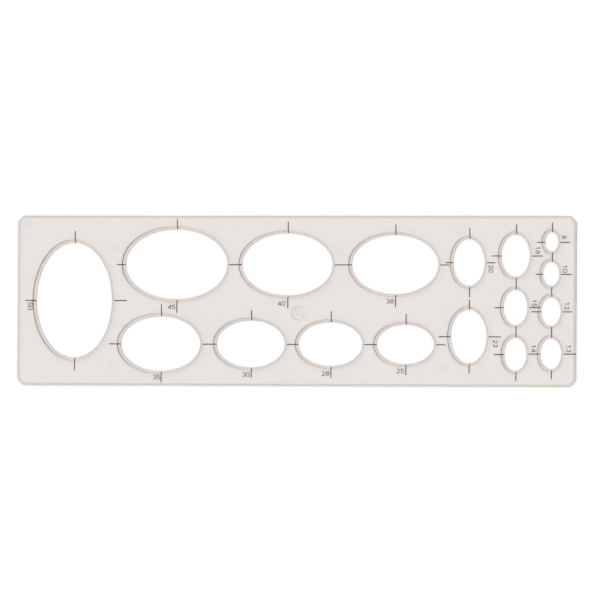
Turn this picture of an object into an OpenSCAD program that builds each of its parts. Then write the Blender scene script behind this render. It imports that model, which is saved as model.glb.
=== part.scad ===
// Ellipse template: one clear moulded plate with seventeen elliptical
// openings, and a printed cross of centre ticks and a size number at each.
// The plate lies flat. Origin at the middle of its underside, +X along its
// length, +Y to the back, +Z up. Sizes in millimetres.

/* [Plate] */
// Length of the plate
plate_l = 250; // [246:1:260]
// Width of the plate
plate_w = 75; // [73:1:85]
// Thickness of the plate
plate_t = 2.5; // [1.8:0.1:3.5]
// Cut across each corner, measured along each side
corner_cut = 2.6; // [1:0.1:4]
// Height of the upright part of the outer edge
edge_land = 1.6; // [0.5:0.1:1.6]
// How far the slope above it runs in, seen from above
edge_slope = 0.9; // [0.3:0.1:1.2]

/* [Openings] */
// Short axis of every ellipse over its long axis
ellipse_ratio = 0.667; // [0.6:0.001:0.7]
// Room for the pencil's lead, added to both axes
pencil_room = 0.6; // [0:0.05:0.8]
// Height of the upright lip that guides the pencil
lip_t = 0.6; // [0.3:0.1:1]
// Width of the nearly flat ledge round the lip
ledge_w = 1.15; // [0.5:0.05:1.4]
// How much the ledge rises away from the lip
ledge_rise = 0.05; // [0:0.05:0.5]
// Width of the steep wall from the ledge up to the top face
wall_w = 0.05; // [0.05:0.05:0.5]
// How much wider the ledge is in the openings named in WIDE_LEDGE
wide_extra = 0.2; // [0:0.05:0.3]

/* [Printing] */
// Width of a centre tick
tick_w = 0.4; // [0.2:0.05:0.5]
// Depth that the ink fills in the underside
ink_t = 0.1; // [0.05:0.01:0.2]
// Gap between the lip and a tick that lies left or right of it
gap_x = 0.5; // [0.45:0.05:1]
// Gap between the lip and a tick that lies behind or in front of it
gap_y = 0.3; // [0.25:0.05:0.8]
// How far the whole printing sits off the openings, to the right
print_dx = 0.35; // [-0.35:0.05:0.35]
// How far the whole printing sits off the openings, to the back
print_dy = -0.15; // [-0.15:0.05:0.15]
// Height of a size number
digit_h = 2.05; // [1.5:0.05:2.2]
// Line width of a size number
digit_line = 0.22; // [0.16:0.02:0.3]
// How much wider a digit is than its plain form
digit_wide = 1.22; // [1:0.02:1.3]

/* [Moulding marks] */
// Diameter of the round gate recess in the top face
gate_d = 6.1; // [5:0.1:7]
// Depth of the gate recess
gate_depth = 0.25; // [0.15:0.05:0.8]
// Diameter of the trimmed stub in the gate recess
stub_d = 2.4; // [1.5:0.1:3]
// Diameter of an ejector mark in the underside
pin_mark_d = 3; // [2:0.1:4]
// Depth of an ejector mark
pin_mark_depth = 0.08; // [0.04:0.01:0.15]

/* [Hidden] */
// One row for each opening: its size, which is its long axis; the centre's
// x and y; whether its long axis runs front to back; the length of its own
// ticks behind, in front, left and right, 0 where it has none of its own; and
// the middle of its number, from the centre.
OPENINGS = [
    [50, -99.64, 0.14, true, [5.2, 5.3, 4.9, 6], [-20.2, -2.5]],
    [45, -53.68, 16.06, false, [4.4, 5.8, 3.8, 0], [-2.35, -18.7]],
    [40, -3.9, 16.06, false, [5.1, 5.35, 0, 0], [-2.8, -17.1]],
    [38, 44.25, 16.06, false, [4.6, 5.15, 0, 4], [-2.5, -16]],
    [35, -60.61, -18.99, false, [5.3, 4.6, 5.2, 0], [-2, -14.6]],
    [30, -20.11, -18.99, false, [4.5, 4.1, 0, 0], [-2.4, -13.3]],
    [28, 15.55, -18.99, false, [4.8, 4.7, 0, 0], [-2.4, -12.8]],
    [25, 49.02, -18.99, false, [4.5, 4.5, 0, 4.2], [-2.5, -11.6]],
    [20, 77.18, 17.07, true, [4.6, 4.5, 3.3, 4], [9.5, -2.6]],
    [23, 77.2, -15.43, true, [4.2, 3.9, 5, 5.6], [11.6, -3]],
    [18, 97.94, 20.06, true, [4.35, 0, 4.2, 5], [9.5, 2.6]],
    [15, 97.94, -2.62, true, [0, 0, 3.8, 5.1], [8.1, 2]],
    [14, 97.98, -23.2, true, [0, 3.9, 4.3, 0], [7.8, 2.7]],
    [8, 113.9, 26.09, true, [4, 0, 3.6, 4.4], [5.2, 2.2]],
    [10, 113.7, 12.04, true, [0, 0, 3, 4.7], [5.9, 2.4]],
    [12, 113.72, -4.4, true, [0, 0, 4.1, 4.4], [6.8, 2.6]],
    [13, 113.74, -22.92, true, [0, 3.9, 0, 5], [7.7, 2.4]],
];
// Ticks that run on from one opening to the next; each belongs to the first.
SHARED_ACROSS = [[45, 40], [40, 38], [35, 30], [30, 28], [28, 25], [14, 13]];
SHARED_ALONG = [[18, 15], [15, 14], [8, 10], [10, 12], [12, 13]];
// Ejector marks, x and y
PIN_MARKS = [[-120.6, 34.5], [-120.3, 9.1], [-82.2, 23], [20.2, 23.1], [-82.5, -28.9], [65.9, -29.5]];
GATE = [1.15, -5.25];
// Openings whose ledge is a little wider
WIDE_LEDGE = [50, 45, 35];

clear_plastic = [0.90, 0.88, 0.85, 0.45];
ink = [0.12, 0.11, 0.11];
eps = 0.01;

// The table's row for a size
function row(size) = [for (o = OPENINGS) if (o[0] == size) o][0];
// Half axes of an opening's lip along x and y
function half_long(o) = (o[0] + pencil_room) / 2;
function half_short(o) = (o[0] * ellipse_ratio + pencil_room) / 2;
function half_x(o) = o[3] ? half_short(o) : half_long(o);
function half_y(o) = o[3] ? half_long(o) : half_short(o);
// Points round a lip, each moved out by off along its own normal
function steps(o) = o[0] >= 30 ? 64 : o[0] >= 18 ? 52 : 40;
function ring(a, b, off, n, z) = [for (i = [0 : n - 1])
    let (t = 360 * i / n, c = cos(t), s = sin(t), m = norm([b * c, a * s]))
    [a * c + off * b * c / m, b * s + off * a * s / m, z]];

// ---------------------------------------------------------------- plate

// The plate's outline: a rectangle with its corners cut off
module outline() {
    x = plate_l / 2;
    y = plate_w / 2;
    k = corner_cut;
    polygon([[x - k, -y], [x, -y + k], [x, y - k], [x - k, y],
             [-x + k, y], [-x, y - k], [-x, -y + k], [-x + k, -y]]);
}

// What the sloped edge takes off: a wedge along one side, whose slope starts
// on the outline at edge_land and reaches the top face edge_slope further in
module edge_wedge(turn, out) {
    rotate([0, 0, turn])
        translate([out, 0, edge_land])
            rotate([0, -atan2(edge_slope, plate_t - edge_land), 0])
                translate([0, -plate_l, -plate_t])
                    cube([3 * plate_t, 2 * plate_l, 4 * plate_t]);
}

// An opening's wall from below the plate to above it: how far out, and height
function wall(o) =
    let (wide = len([for (q = WIDE_LEDGE) if (q == o[0]) q]) > 0,
         w = ledge_w + (wide ? wide_extra : 0),
         z = lip_t + ledge_rise,
         grow = wall_w / (plate_t - z))
    [[0, -1], [0, lip_t], [w, z], [w + wall_w + grow, plate_t + 1]];

// One opening: an upright elliptical lip, a nearly flat ledge round it, and a
// steep wall up to the top face, each of one width all round
module opening_cutter(o) {
    n = steps(o);
    a = half_x(o);
    b = half_y(o);
    rows = wall(o);
    top = len(rows) - 1;
    points = [for (r = rows) each ring(a, b, r[0], n, r[1])];
    sides = [for (k = [0 : top - 1], i = [0 : n - 1])
        let (j = (i + 1) % n, p = k * n)
        each [[p + i, p + n + i, p + n + j], [p + i, p + n + j, p + j]]];
    translate([o[1], o[2], 0])
        polyhedron(points,
                   concat([[for (i = [0 : n - 1]) i]],
                          sides,
                          [[for (i = [n - 1 : -1 : 0]) top * n + i]]),
                   convexity = 6);
}

module plate() {
    x = plate_l / 2;
    y = plate_w / 2;
    corner = (x + y - corner_cut) / sqrt(2);
    color(clear_plastic)
    difference() {
        linear_extrude(plate_t) outline();
        for (s = [0, 180]) edge_wedge(s, x);
        for (s = [90, 270]) edge_wedge(s, y);
        for (s = [45, 135, 225, 315]) edge_wedge(s, corner);
        for (o = OPENINGS) opening_cutter(o);
        // round recess where the plastic came in, with its trimmed stub
        translate([GATE[0], GATE[1], plate_t - gate_depth])
            difference() {
                cylinder(d = gate_d, h = gate_depth + 1, $fn = 48);
                translate([-0.35, 0.3, -1])
                    cylinder(d = stub_d, h = 1 + gate_depth * 0.7, $fn = 32);
            }
        // faint round marks of the ejector pins
        for (p = PIN_MARKS)
            translate([p[0], p[1], -1])
                cylinder(d = pin_mark_d, h = 1 + pin_mark_depth, $fn = 32);
        // the shallow grooves that hold the ink
        translate([0, 0, -eps]) {
            for (o = OPENINGS) {
                linear_extrude(ink_t + eps) tick_outline(o);
                linear_extrude(ink_t + eps) number_outline(o);
            }
        }
    }
}

// -------------------------------------------------------- centre ticks

module centred_bar(x0, x1, y0, y1) {
    translate([min(x0, x1), min(y0, y1)])
        square([abs(x1 - x0), abs(y1 - y0)]);
}

// All ticks of one opening, as they lie in the underside
module tick_outline(o) {
    h = tick_w / 2;
    a = half_x(o) + gap_x;
    b = half_y(o) + gap_y;
    len = o[4];
    translate([print_dx, print_dy]) {
        translate([o[1], o[2]]) {
            if (len[0] > 0) centred_bar(-h, h, b, b + len[0]);
            if (len[1] > 0) centred_bar(-h, h, -b, -b - len[1]);
            if (len[2] > 0) centred_bar(-a, -a - len[2], -h, h);
            // a tick near the plate's right end stops short of it
            if (len[3] > 0)
                centred_bar(a, min(a + len[3], plate_l / 2 - o[1] - print_dx - 0.6), -h, h);
        }
        for (s = SHARED_ACROSS) if (s[0] == o[0]) {
            q = row(s[1]);
            centred_bar(o[1] + a, q[1] - half_x(q) - gap_x, q[2] - h, q[2] + h);
        }
        for (s = SHARED_ALONG) if (s[0] == o[0]) {
            q = row(s[1]);
            centred_bar(o[1] - h, o[1] + h, o[2] - b, q[2] + half_y(q) + gap_y);
        }
    }
}

module centre_ticks(size) {
    color(ink) linear_extrude(ink_t) tick_outline(row(size));
}

// --------------------------------------------------------- size numbers

// A straight line with round ends
module line(p, q) {
    d = q - p;
    translate(p) rotate(atan2(d[1], d[0]))
        translate([0, -digit_line / 2]) square([norm(d), digit_line]);
    for (e = [p, q]) translate(e) circle(d = digit_line, $fn = 24);
}

// An arc with round ends, from angle from to angle to, anticlockwise
module arc(c, r, from, to) {
    far = 3 * r + 1;
    n = ceil((to - from) / 40);
    translate(c) {
        intersection() {
            difference() {
                circle(r = r + digit_line / 2, $fn = 40);
                circle(r = r - digit_line / 2, $fn = 40);
            }
            polygon(concat([[0, 0]], [for (i = [0 : n])
                let (t = from + (to - from) * i / n) far * [cos(t), sin(t)]]));
        }
        for (t = [from, to]) translate(r * [cos(t), sin(t)])
            circle(d = digit_line, $fn = 24);
    }
}

module loop(c, r) {
    translate(c) difference() {
        circle(r = r + digit_line / 2, $fn = 40);
        circle(r = r - digit_line / 2, $fn = 40);
    }
}

// A plain round-cornered digit. Its lines' middles fill a box of w by h.
module digit(d) {
    h = digit_h - digit_line;
    w = h * 0.56;
    scale([digit_wide, 1]) digit_lines(d, h, w);
}

module digit_lines(d, h, w) {
    if (d == 0) {
        r = w / 2;
        difference() {
            translate([w / 2, r]) union() {
                circle(r = r + digit_line / 2, $fn = 40);
                translate([0, h - w]) circle(r = r + digit_line / 2, $fn = 40);
                translate([-r - digit_line / 2, 0]) square([w + digit_line, h - w]);
            }
            translate([w / 2, r]) union() {
                circle(r = r - digit_line / 2, $fn = 40);
                translate([0, h - w]) circle(r = r - digit_line / 2, $fn = 40);
                translate([-r + digit_line / 2, 0]) square([w - digit_line, h - w]);
            }
        }
    }
    if (d == 1) {
        line([w * 0.55, 0], [w * 0.55, h]);
        line([w * 0.12, h * 0.78], [w * 0.55, h]);
    }
    if (d == 2) {
        r = w * 0.48;
        a = -32;
        arc([w / 2, h - r], r, a, 170);
        line([w / 2 + r * cos(a), h - r + r * sin(a)], [0, 0]);
        line([0, 0], [w, 0]);
    }
    if (d == 3) {
        r1 = h * 0.235;
        r2 = (h - 2 * r1) / 2;
        arc([w / 2 - 0.03, h - r1], r1, -90, 150);
        arc([w / 2, r2], r2, -160, 90);
    }
    if (d == 4) {
        line([w * 0.72, 0], [w * 0.72, h]);
        line([w * 0.72, h], [-w * 0.05, h * 0.28]);
        line([-w * 0.05, h * 0.28], [w * 1.05, h * 0.28]);
    }
    if (d == 5) {
        r = h * 0.31;
        line([w * 0.95, h], [w * 0.16, h]);
        line([w * 0.16, h], [w * 0.06, h * 0.52]);
        arc([w * 0.46, r], r, -150, 132);
    }
    if (d == 8) {
        r1 = h * 0.225;
        r2 = (h - 2 * r1) / 2;
        loop([w / 2, h - r1], r1);
        loop([w / 2, r2], r2);
    }
}

// The number of one opening, as it lies in the underside. Numbers beside an
// opening whose long axis runs front to back read downwards.
module number_outline(o) {
    tens = floor(o[0] / 10);
    units = o[0] % 10;
    w = (digit_h - digit_line) * 0.56 * digit_wide;
    pitch = w + digit_line + 0.3;
    translate([o[1] + o[5][0] + print_dx, o[2] + o[5][1] + print_dy])
        rotate(o[3] ? -90 : 0)
            translate([-w / 2, -(digit_h - digit_line) / 2]) {
                if (tens > 0) {
                    translate([-pitch / 2, 0]) digit(tens);
                    translate([pitch / 2, 0]) digit(units);
                } else digit(units);
            }
}

module size_number(size) {
    color(ink) linear_extrude(ink_t) number_outline(row(size));
}

// ------------------------------------------------------------- the model

plate();

centre_ticks(50);  // ticks_50
centre_ticks(45);  // ticks_45
centre_ticks(40);  // ticks_40
centre_ticks(38);  // ticks_38
centre_ticks(35);  // ticks_35
centre_ticks(30);  // ticks_30
centre_ticks(28);  // ticks_28
centre_ticks(25);  // ticks_25
centre_ticks(20);  // ticks_20
centre_ticks(23);  // ticks_23
centre_ticks(18);  // ticks_18
centre_ticks(15);  // ticks_15
centre_ticks(14);  // ticks_14
centre_ticks(8);  // ticks_8
centre_ticks(10);  // ticks_10
centre_ticks(12);  // ticks_12
centre_ticks(13);  // ticks_13

size_number(50);  // number_50
size_number(45);  // number_45
size_number(40);  // number_40
size_number(38);  // number_38
size_number(35);  // number_35
size_number(30);  // number_30
size_number(28);  // number_28
size_number(25);  // number_25
size_number(20);  // number_20
size_number(23);  // number_23
size_number(18);  // number_18
size_number(15);  // number_15
size_number(14);  // number_14
size_number(8);  // number_8
size_number(10);  // number_10
size_number(12);  // number_12
size_number(13);  // number_13
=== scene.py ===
"""Ellipse template: a clear moulded plate with its printing, on a plain pale floor."""
import math

import bpy
import numpy as np
from mathutils import Matrix, Vector
from mathutils.geometry import delaunay_2d_cdt


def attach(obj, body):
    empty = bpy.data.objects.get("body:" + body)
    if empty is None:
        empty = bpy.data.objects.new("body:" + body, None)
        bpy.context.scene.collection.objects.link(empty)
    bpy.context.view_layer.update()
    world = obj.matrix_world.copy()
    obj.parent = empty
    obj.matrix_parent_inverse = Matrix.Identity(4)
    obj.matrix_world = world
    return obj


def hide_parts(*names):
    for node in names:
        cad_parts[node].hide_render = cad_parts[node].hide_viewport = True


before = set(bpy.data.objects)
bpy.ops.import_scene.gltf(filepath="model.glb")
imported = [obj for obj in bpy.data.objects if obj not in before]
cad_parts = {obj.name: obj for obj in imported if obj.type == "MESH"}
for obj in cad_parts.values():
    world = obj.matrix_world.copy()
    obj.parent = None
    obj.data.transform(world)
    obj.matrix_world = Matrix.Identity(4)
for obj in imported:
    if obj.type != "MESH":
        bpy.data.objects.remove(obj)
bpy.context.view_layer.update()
MM = 0.001

# ------------------------------------------------------------------ sizes (mm)
PLATE_L, PLATE_W, PLATE_T = 250.0, 75.0, 2.5
CORNER_CUT, CORNER_ROUND = 2.6, 0.7
RATIO, ROOM = 0.667, 0.6
# how far out from the lip (or in from the outline), height, rounding; from the underside up
WALL = [(0, 0.02, 0.05), (0, 0.6, 0.07), (1.15, 0.65, 0.05), (1.2, 2.5, 0.15)]
EDGE = [(0, 0.02, 0.09), (0, 1.6, 0.5), (0.9, 2.5, 0.35)]
WIDE, WIDE_EXTRA = (50, 45, 35), 0.2  # openings whose ledge is a little wider
WALL_SPLIT = 0.68  # above this height a wall is smooth, below it satin
IOR = 1.537
# what the plastic takes from the light on its way: the colour it lets pass, and how much (1/m)
ABSORB = (0.246, 0.12, 0.0)
DENSITY = 100.0
FACE_TINT = (1.0, 1.0, 1.0)
# painted shade: these tints darken the openings' walls, standing for the dark bands that light and shadow
# make along them
SATIN_PAINTED_SHADE = (0.83, 0.75, 0.71)
STEEP_PAINTED_SHADE = (0.83, 0.75, 0.71)
# painted shade: this tint darkens the outer edge a little, standing for the dark lines that light makes along
# it
EDGE_PAINTED_SHADE = (0.97, 0.94, 0.92)
SATIN_ROUGH = 0.02
STEEP_ROUGH = 0.22
EDGE_ROUGH = 0.09
# the studio's soft lamps: compass direction from +X, height, cosines of the soft rim, strength;
# and the strengths overhead and at the horizon (between two heights, as sines)
LAMPS = [(17.0, 68.6, 0.861, 0.999, 1.02), (155.0, 44.0, 0.818, 0.954, 0.4)]
OVERHEAD = 0.76
HORIZON = 0.46
SKY = (0.15, 0.22)
FLOOR_GLOW = 0.46  # the floor is a light table: its own even light
UNDER = 0.02  # the visible underside, so that the ink stands just proud of it
# size, centre x, centre y, long axis front to back
OPENINGS = [
    (50, -99.64, 0.14, True), (45, -53.68, 16.06, False), (40, -3.9, 16.06, False),
    (38, 44.25, 16.06, False), (35, -60.61, -18.99, False), (30, -20.11, -18.99, False),
    (28, 15.55, -18.99, False), (25, 49.02, -18.99, False), (20, 77.18, 17.07, True),
    (23, 77.2, -15.43, True), (18, 97.94, 20.06, True), (15, 97.94, -2.62, True),
    (14, 97.98, -23.2, True), (8, 113.9, 26.09, True), (10, 113.7, 12.04, True),
    (12, 113.72, -4.4, True), (13, 113.74, -22.92, True),
]
PIN_MARKS = [(-120.6, 34.5), (-120.3, 9.1), (-82.2, 23.0), (20.2, 23.1), (-82.5, -28.9), (65.9, -29.5)]
GATE, GATE_D, GATE_DEPTH = (1.15, -5.25), 6.1, 0.25
STUB, STUB_D = (0.8, -4.95), 2.4


# ------------------------------------------------------------- profile helpers
def rounded(points, radii, step=12.0):
    """A polyline with its inner corners rounded: rows of position and normal.

    The normal is on the left of the direction of travel."""
    p = [np.array(q, float) for q in points]
    out = []

    def push(q, t):
        out.append((q[0], q[1], -t[1], t[0]))

    for i in range(len(p)):
        if i == 0:
            t = (p[1] - p[0]) / np.linalg.norm(p[1] - p[0])
            push(p[0], t)
            continue
        if i == len(p) - 1:
            t = (p[i] - p[i - 1]) / np.linalg.norm(p[i] - p[i - 1])
            push(p[i], t)
            continue
        a = (p[i] - p[i - 1]) / np.linalg.norm(p[i] - p[i - 1])
        b = (p[i + 1] - p[i]) / np.linalg.norm(p[i + 1] - p[i])
        turn = math.atan2(a[0] * b[1] - a[1] * b[0], a @ b)
        half = abs(math.tan(turn / 2))
        room = 0.48 * min(np.linalg.norm(p[i] - p[i - 1]), np.linalg.norm(p[i + 1] - p[i]))
        r = min(radii[i], room / half)
        cut = r * half
        start = p[i] - a * cut
        side = 1.0 if turn > 0 else -1.0
        centre = start + side * r * np.array([-a[1], a[0]])
        n = max(2, int(math.ceil(abs(math.degrees(turn)) / step)))
        for k in range(n + 1):
            ang = turn * k / n
            c, s = math.cos(ang), math.sin(ang)
            rad = start - centre
            q = centre + np.array([c * rad[0] - s * rad[1], s * rad[0] + c * rad[1]])
            t = np.array([c * a[0] - s * a[1], s * a[0] + c * a[1]])
            push(q, t)
    return out


def profile(rows):
    """A wall's rounded section between the flat underside and the flat top."""
    return rounded([(rows[0][0] + 2, rows[0][1])] + [r[:2] for r in rows] + [(rows[-1][0] + 2, rows[-1][1])],
                   [0] + [r[2] for r in rows] + [0])


class Build:
    """Collects vertices with their own normals, and faces."""

    def __init__(self):
        self.v, self.n, self.f, self.m = [], [], [], []

    def ring(self, xy, nxy, d, z, nd, nz):
        """A closed ring: base points moved out by d along their plan normals."""
        first = len(self.v)
        for (x, y), (a, b) in zip(xy, nxy):
            self.v.append((x + a * d, y + b * d, z))
            self.n.append((a * nd, b * nd, nz))
        return list(range(first, len(self.v)))

    def band(self, lo, hi, mat=0, flip=False):
        n = len(lo)
        for i in range(n):
            j = (i + 1) % n
            q = [lo[i], lo[j], hi[j], hi[i]]
            self.f.append(q[::-1] if flip else q)
            self.m.append(mat)

    def sheet(self, rings, up, mat=0):
        """A flat face between an outer ring and inner rings, as triangles."""
        idx = [i for r in rings for i in r]
        pts = [Vector(self.v[i][:2]) for i in idx]
        edges, owner, at = [], {}, 0
        for k, r in enumerate(rings):
            m = len(r)
            edges += [(at + i, at + (i + 1) % m) for i in range(m)]
            for i in range(m):
                owner[at + i] = k
            at += m
        verts, _, faces, orig, _, _ = delaunay_2d_cdt(pts, edges, [], 0, 1e-7)
        back = [o[0] for o in orig]
        for f in faces:
            own = {owner[back[i]] for i in f}
            if len(own) == 1 and 0 not in own:
                continue
            q = [idx[back[i]] for i in f]
            (x0, y0), (x1, y1), (x2, y2) = [self.v[i][:2] for i in q[:3]]
            ccw = (x1 - x0) * (y2 - y0) - (y1 - y0) * (x2 - x0) > 0
            if ccw != up:
                q = q[::-1]
            self.f.append(q)
            self.m.append(mat)


def circle(cx, cy, r, n):
    t = [2 * math.pi * i / n for i in range(n)]
    return [(cx, cy)] * n, [(math.cos(a), math.sin(a)) for a in t], r


def ellipse(cx, cy, a, b, n):
    """Points round an ellipse, evenly spread by angle of their normals and of
    their place, and their outward normals."""
    pts, nor = [], []
    for i in range(n):
        t = 2 * math.pi * i / n
        c, s = math.cos(t), math.sin(t)
        m = math.hypot(b * c, a * s)
        pts.append((cx + a * c, cy + b * s))
        nor.append((b * c / m, a * s / m))
    return pts, nor


def outline(e, r=CORNER_ROUND):
    """The plate's outline moved in by e, with cut and slightly rounded corners:
    points and their plan normals, the same number for every e."""
    x, y = PLATE_L / 2 - e, PLATE_W / 2 - e
    k = CORNER_CUT - e * (2 - math.sqrt(2))
    corners = [(x - k, -y), (x, -y + k), (x, y - k), (x - k, y),
               (-x + k, y), (-x, y - k), (-x, -y + k), (-x + k, -y)]
    pts, nor = [], []
    m = len(corners)
    for i in range(m):
        p0, p1, p2 = [np.array(corners[(i + j) % m]) for j in (-1, 0, 1)]
        a = (p1 - p0) / np.linalg.norm(p1 - p0)
        b = (p2 - p1) / np.linalg.norm(p2 - p1)
        turn = math.atan2(a[0] * b[1] - a[1] * b[0], a @ b)
        cut = r * math.tan(turn / 2)
        start = p1 - a * cut
        centre = start + r * np.array([-a[1], a[0]])
        n = 8
        for j in range(n + 1):
            ang = turn * j / n
            c, s = math.cos(ang), math.sin(ang)
            rad = start - centre
            q = centre + np.array([c * rad[0] - s * rad[1], s * rad[0] + c * rad[1]])
            pts.append(tuple(q))
            nor.append(tuple((q - centre) / r))
        # points along the straight side that follows, so that faces stay short
        steps = {1: 24, 3: 92, 5: 24, 7: 92}.get(i, 0)
        first, last = p1 + b * cut, p2 - b * cut
        for j in range(1, steps):
            f = j / steps
            pts.append(tuple(first * (1 - f) + last * f))
            nor.append((b[1], -b[0]))
    return pts, nor


# --------------------------------------------------------------------- plate
def make_plate():
    b = Build()
    top, bottom = PLATE_T, UNDER

    # outer edge, from the underside up: (how far in from the outline, z)
    prof = profile(EDGE)
    rings = []
    for e, z, ne, nz in prof[1:-1]:
        xy, nxy = outline(e)
        rings.append(b.ring(xy, nxy, 0.0, z, -ne, nz))
    for lo, hi in zip(rings, rings[1:]):
        b.band(lo, hi, mat=3)
    under_rings, top_rings = [rings[0]], [rings[-1]]

    # openings, from the underside up: (how far out from the lip, z)
    for size, cx, cy, turned in OPENINGS:
        a, c = (size + ROOM) / 2, (size * RATIO + ROOM) / 2
        hx, hy = (c, a) if turned else (a, c)
        n = 224 if size >= 30 else 160 if size >= 18 else 112
        xy, nxy = ellipse(cx, cy, hx, hy, n)
        more = WIDE_EXTRA if size in WIDE else 0.0
        prof = profile([(d + more if d > 0 else d, z, r) for d, z, r in WALL])
        rings = []
        for d, z, nd, nz in prof[1:-1]:
            rings.append(b.ring(xy, nxy, d, z, nd, nz))
        for lo, hi in zip(rings, rings[1:]):
            z = (b.v[lo[0]][2] + b.v[hi[0]][2]) / 2
            b.band(lo, hi, mat=2 if z > WALL_SPLIT else 1, flip=True)
        under_rings.append(rings[0])
        top_rings.append(rings[-1])

    # gate recess in the top face, with its trimmed stub
    r = GATE_D / 2
    xy, nxy, _ = circle(GATE[0], GATE[1], r, 72)
    floor = top - GATE_DEPTH
    prof = rounded([(r - 1.0, floor), (r - 0.32, floor), (r, top), (r + 1.0, top)], [0, 0.05, 0.05, 0])
    rings = [b.ring(xy, nxy, d, z, nd, nz) for d, z, nd, nz in prof[1:-1]]
    for lo, hi in zip(rings, rings[1:]):
        b.band(lo, hi, mat=2, flip=True)
    top_rings.append(rings[-1])
    sxy, snxy, _ = circle(STUB[0], STUB[1], STUB_D / 2, 48)
    sr = STUB_D / 2
    head = floor + GATE_DEPTH * 0.7
    prof = rounded([(sr + 0.8, floor), (sr, floor), (sr - 0.3, head), (sr - 0.8, head)], [0, 0.05, 0.05, 0])
    stub = [b.ring(sxy, snxy, d, z, -nd, -nz) for d, z, nd, nz in prof[1:-1]]
    for lo, hi in zip(stub, stub[1:]):
        b.band(lo, hi, mat=2)
    b.sheet([rings[0], stub[0]], up=True)
    centre = len(b.v)
    b.v.append((STUB[0], STUB[1], head))
    b.n.append((0, 0, 1))
    for i in range(len(stub[-1])):
        b.f.append([stub[-1][i], stub[-1][(i + 1) % len(stub[-1])], centre])
        b.m.append(0)

    # faint dips of the ejector pins in the underside
    for cx, cy in PIN_MARKS:
        xy, nxy, _ = circle(cx, cy, 1.5, 64)
        deep = bottom + 0.08
        prof = rounded([(0.9, deep), (1.45, deep), (1.5, bottom), (2.0, bottom)], [0, 0.03, 0.03, 0])
        rings = [b.ring(xy, nxy, d, z, -nd, -nz) for d, z, nd, nz in prof[1:-1]]
        for lo, hi in zip(rings, rings[1:]):
            b.band(lo, hi, mat=0)
        under_rings.append(rings[-1])
        centre = len(b.v)
        b.v.append((cx, cy, deep))
        b.n.append((0, 0, -1))
        for i in range(len(rings[0])):
            b.f.append([rings[0][(i + 1) % len(rings[0])], rings[0][i], centre])
            b.m.append(0)

    b.sheet(top_rings, up=True)
    b.sheet(under_rings, up=False)

    me = bpy.data.meshes.new("clear_plate")
    me.from_pydata([(x * MM, y * MM, z * MM) for x, y, z in b.v], [], b.f)
    me.polygons.foreach_set("material_index", b.m)
    me.polygons.foreach_set("use_smooth", [True] * len(b.f))
    me.update()
    n = np.array(b.n, float)
    n /= np.linalg.norm(n, axis=1)[:, None]
    me.normals_split_custom_set_from_vertices([tuple(q) for q in n])
    ob = bpy.data.objects.new("clear_plate", me)
    bpy.context.scene.collection.objects.link(ob)
    return ob, b


# ------------------------------------------------------------------ materials
def material(name):
    m = bpy.data.materials.new(name)
    m.use_nodes = True
    nt = m.node_tree
    nt.nodes.clear()
    out = nt.nodes.new("ShaderNodeOutputMaterial")
    bsdf = nt.nodes.new("ShaderNodeBsdfPrincipled")
    nt.links.new(bsdf.outputs[0], out.inputs["Surface"])
    return m, nt, bsdf, out


def node(nt, kind, **values):
    n = nt.nodes.new(kind)
    for k, v in values.items():
        if k in n.inputs:
            n.inputs[k].default_value = v
        else:
            setattr(n, k, v)
    return n


def clear_material(name, tint, rough):
    """Clear plastic: its own tint is in its depth, the surface only varies a little; the tint passed in
    darkens the surface, and on the walls and the outer edge it is painted shade.
    """
    m, nt, bsdf, out = material(name)
    co = node(nt, "ShaderNodeTexCoord")
    wide = node(nt, "ShaderNodeTexNoise", Scale=38.0, Detail=4.0, Roughness=0.55)
    nt.links.new(co.outputs["Object"], wide.inputs["Vector"])
    ramp = node(nt, "ShaderNodeValToRGB")
    ramp.color_ramp.elements[0].position = 0.3
    ramp.color_ramp.elements[1].position = 0.7
    ramp.color_ramp.elements[0].color = (*[c * 0.985 for c in tint], 1)
    ramp.color_ramp.elements[1].color = (*tint, 1)
    nt.links.new(wide.outputs["Fac"], ramp.inputs["Fac"])
    nt.links.new(ramp.outputs["Color"], bsdf.inputs["Base Color"])
    bsdf.inputs["Transmission Weight"].default_value = 1.0
    bsdf.inputs["IOR"].default_value = IOR
    bsdf.inputs["Roughness"].default_value = rough
    depth = node(nt, "ShaderNodeVolumeAbsorption")
    depth.inputs["Color"].default_value = (*ABSORB, 1)
    depth.inputs["Density"].default_value = DENSITY
    nt.links.new(depth.outputs[0], out.inputs["Volume"])
    return m


def ink_material():
    m, nt, bsdf, out = material("printed_ink")
    co = node(nt, "ShaderNodeTexCoord")
    no = node(nt, "ShaderNodeTexNoise", Scale=1600.0, Detail=3.0)
    nt.links.new(co.outputs["Object"], no.inputs["Vector"])
    ramp = node(nt, "ShaderNodeValToRGB")
    ramp.color_ramp.elements[0].color = (0.012, 0.011, 0.012, 1)
    ramp.color_ramp.elements[1].color = (0.03, 0.027, 0.028, 1)
    nt.links.new(no.outputs["Fac"], ramp.inputs["Fac"])
    nt.links.new(ramp.outputs["Color"], bsdf.inputs["Base Color"])
    bsdf.inputs["Roughness"].default_value = 0.6
    return m


# ---------------------------------------------------------------------- floor
def make_floor():
    me = bpy.data.meshes.new("floor")
    s, z = 6.0, -0.00003
    me.from_pydata([(-s, -s, z), (s, -s, z), (s, s, z), (-s, s, z)], [], [(0, 1, 2, 3)])
    ob = bpy.data.objects.new("floor", me)
    bpy.context.scene.collection.objects.link(ob)
    m, nt, bsdf, out = material("paper_floor")
    bsdf.inputs["Base Color"].default_value = (0.86, 0.86, 0.86, 1)
    bsdf.inputs["Roughness"].default_value = 0.9
    bsdf.inputs["Specular IOR Level"].default_value = 0.0
    bsdf.inputs["Emission Color"].default_value = (1, 1, 1, 1)
    bsdf.inputs["Emission Strength"].default_value = FLOOR_GLOW
    me.materials.append(m)
    return ob


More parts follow.
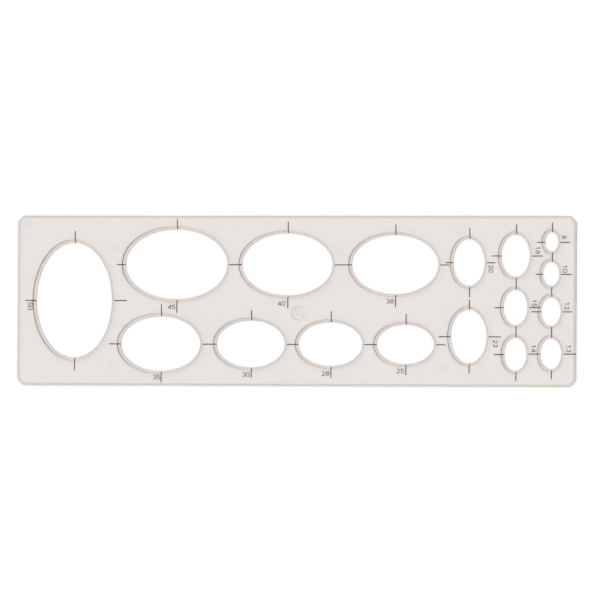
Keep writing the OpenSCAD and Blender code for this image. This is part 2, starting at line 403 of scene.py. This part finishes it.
# ---------------------------------------------------------------------- light
def make_world():
    w = bpy.data.worlds.new("studio")
    bpy.context.scene.world = w
    w.use_nodes = True
    nt = w.node_tree
    nt.nodes.clear()
    out = node(nt, "ShaderNodeOutputWorld")
    co = node(nt, "ShaderNodeTexCoord")
    split = node(nt, "ShaderNodeSeparateXYZ")
    nt.links.new(co.outputs["Generated"], split.inputs[0])
    sky = node(nt, "ShaderNodeMapRange", interpolation_type="SMOOTHSTEP")
    sky.inputs["From Min"].default_value = SKY[0]
    sky.inputs["From Max"].default_value = SKY[1]
    sky.inputs["To Min"].default_value = HORIZON
    sky.inputs["To Max"].default_value = OVERHEAD
    nt.links.new(split.outputs["Z"], sky.inputs["Value"])
    total = sky.outputs["Result"]
    for az, el, rim, full, strength in LAMPS:
        az, el = math.radians(az), math.radians(el)
        dot = node(nt, "ShaderNodeVectorMath", operation="DOT_PRODUCT")
        dot.inputs[1].default_value = (math.cos(el) * math.cos(az), math.cos(el) * math.sin(az), math.sin(el))
        nt.links.new(co.outputs["Generated"], dot.inputs[0])
        lobe = node(nt, "ShaderNodeMapRange", interpolation_type="SMOOTHSTEP")
        lobe.inputs["From Min"].default_value = rim
        lobe.inputs["From Max"].default_value = full
        lobe.inputs["To Min"].default_value = 0.0
        lobe.inputs["To Max"].default_value = strength
        nt.links.new(dot.outputs["Value"], lobe.inputs["Value"])
        add = node(nt, "ShaderNodeMath", operation="ADD")
        nt.links.new(lobe.outputs["Result"], add.inputs[0])
        nt.links.new(total, add.inputs[1])
        total = add.outputs[0]
    light = node(nt, "ShaderNodeBackground")
    nt.links.new(total, light.inputs["Strength"])
    plain = node(nt, "ShaderNodeBackground")
    plain.inputs["Color"].default_value = (1, 1, 1, 1)
    plain.inputs["Strength"].default_value = 1.0
    path = node(nt, "ShaderNodeLightPath")
    mix = node(nt, "ShaderNodeMixShader")
    nt.links.new(path.outputs["Is Camera Ray"], mix.inputs[0])
    nt.links.new(light.outputs[0], mix.inputs[1])
    nt.links.new(plain.outputs[0], mix.inputs[2])
    nt.links.new(mix.outputs[0], out.inputs["Surface"])


# --------------------------------------------------------------------- camera
def make_camera():
    data = bpy.data.cameras.new("camera")
    cam = bpy.data.objects.new("camera", data)
    bpy.context.scene.collection.objects.link(cam)
    n = Vector((math.tan(math.radians(10.51)), math.tan(math.radians(-1.2)), 1.0)).normalized()
    place = n * 4.5
    aim = Vector((0.001733, 0.00043, 0.0))
    fw = (aim - place).normalized()
    r = fw.cross(Vector((0, 1, 0))).normalized()
    u = r.cross(fw)
    c, s = math.cos(math.radians(0.337)), math.sin(math.radians(0.337))
    r2 = c * r + s * u
    u2 = -s * r + c * u
    rot = Matrix((r2, u2, -fw)).transposed()
    cam.matrix_world = Matrix.Translation(place) @ rot.to_4x4()
    data.sensor_width = 36.0
    data.lens = 10219.2 / 600.0 * 36.0
    data.clip_start, data.clip_end = 0.1, 50.0
    bpy.context.scene.camera = cam


# ----------------------------------------------------------------------- make
make_camera()
make_floor()
make_world()
plate, build = make_plate()
body = clear_material("clear_plastic", FACE_TINT, 0.0)
# the satin and wall materials carry painted shade: their tint darkens the openings' walls
satin = clear_material("clear_plastic_satin_painted_shade", SATIN_PAINTED_SHADE, SATIN_ROUGH)
steep = clear_material("clear_plastic_wall_painted_shade", STEEP_PAINTED_SHADE, STEEP_ROUGH)
# the edge material carries painted shade: its tint darkens the outer edge
edge = clear_material("clear_plastic_edge_painted_shade", EDGE_PAINTED_SHADE, EDGE_ROUGH)
for m in (body, satin, steep, edge):
    plate.data.materials.append(m)
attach(plate, "root")
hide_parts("plate")

ink = ink_material()
for name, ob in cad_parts.items():
    if name != "plate":
        for slot in ob.material_slots:
            slot.material = ink

sc = bpy.context.scene
sc.view_settings.view_transform = "Standard"
sc.view_settings.look = "None"
sc.view_settings.exposure = 0.0
sc.view_settings.gamma = 1.0
sc.cycles.blur_glossy = 0.0  # light gets through the clear plate to the floor as it does in air
